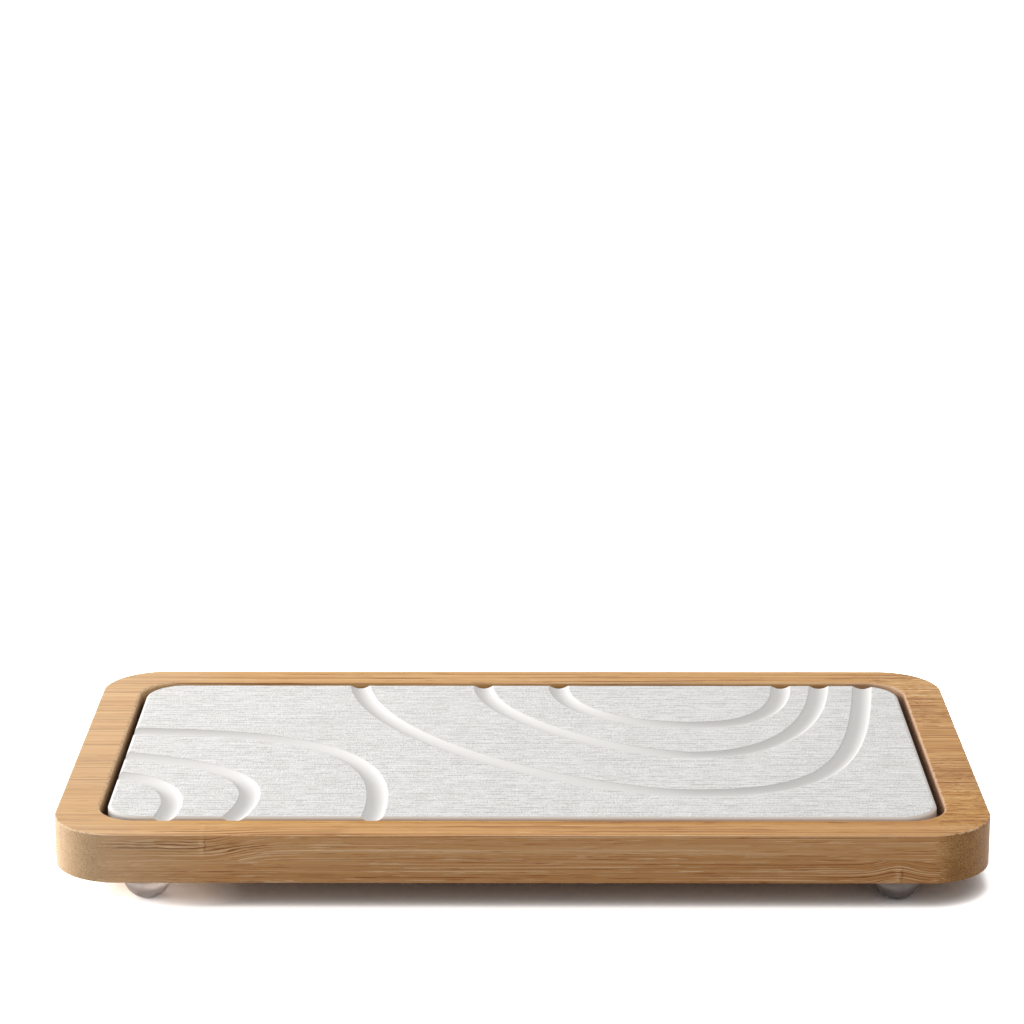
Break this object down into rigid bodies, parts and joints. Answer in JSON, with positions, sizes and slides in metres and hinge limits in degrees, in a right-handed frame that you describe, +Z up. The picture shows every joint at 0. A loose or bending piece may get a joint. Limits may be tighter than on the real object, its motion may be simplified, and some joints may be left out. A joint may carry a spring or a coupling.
{
  "type": "vanity tray",
  "caption": "Low rectangular bamboo tray with rounded corners and dome feet, holding a loose flush stone plate carved with nested drainage grooves.",
  "frame": {"origin": "on the counter that the feet stand on, below the middle of the tray", "axes": "+X along the tray's length, +Y from its front edge to its back edge, +Z up out of the stone plate"},
  "size_m": [0.25, 0.14, 0.0198],
  "materials": {
    "bamboo_frame": "fine sanded bamboo, grain along X, thin satin oil",
    "bamboo_base": "fine sanded bamboo, grain along X, thin satin oil",
    "stone": "matt porous white stone, top brushed along X, grooves and edges smooth",
    "silicone": "clear soft silicone, glossy",
    "adhesive": "clear acrylic pressure-sensitive adhesive"
  },
  "bodies": {
    "tray": {"frame_strip_1": "bamboo_frame", "frame_strip_2_left": "bamboo_frame", "frame_strip_2_right": "bamboo_frame", "frame_strip_3_left": "bamboo_frame", "frame_strip_3_right": "bamboo_frame", "frame_strip_4_left": "bamboo_frame", "frame_strip_4_right": "bamboo_frame", "frame_strip_5": "bamboo_frame", "frame_strip_6": "bamboo_frame", "base_strip_1": "bamboo_base", "base_strip_2": "bamboo_base", "base_strip_3": "bamboo_base", "base_strip_4": "bamboo_base", "base_strip_5": "bamboo_base", "base_strip_6": "bamboo_base", "foot_front_left": "silicone", "foot_front_right": "silicone", "foot_back_left": "silicone", "foot_back_right": "silicone", "adhesive_front_left": "adhesive", "adhesive_front_right": "adhesive", "adhesive_back_left": "adhesive", "adhesive_back_right": "adhesive"},
    "plate": {"stone_plate": "stone"}
  },
  "joints": [
    {"name": "stone_lift", "type": "slide", "parent": "tray", "child": "plate", "axis": [0, 0, 1], "range_m": [0, 0.04]}
  ]
}
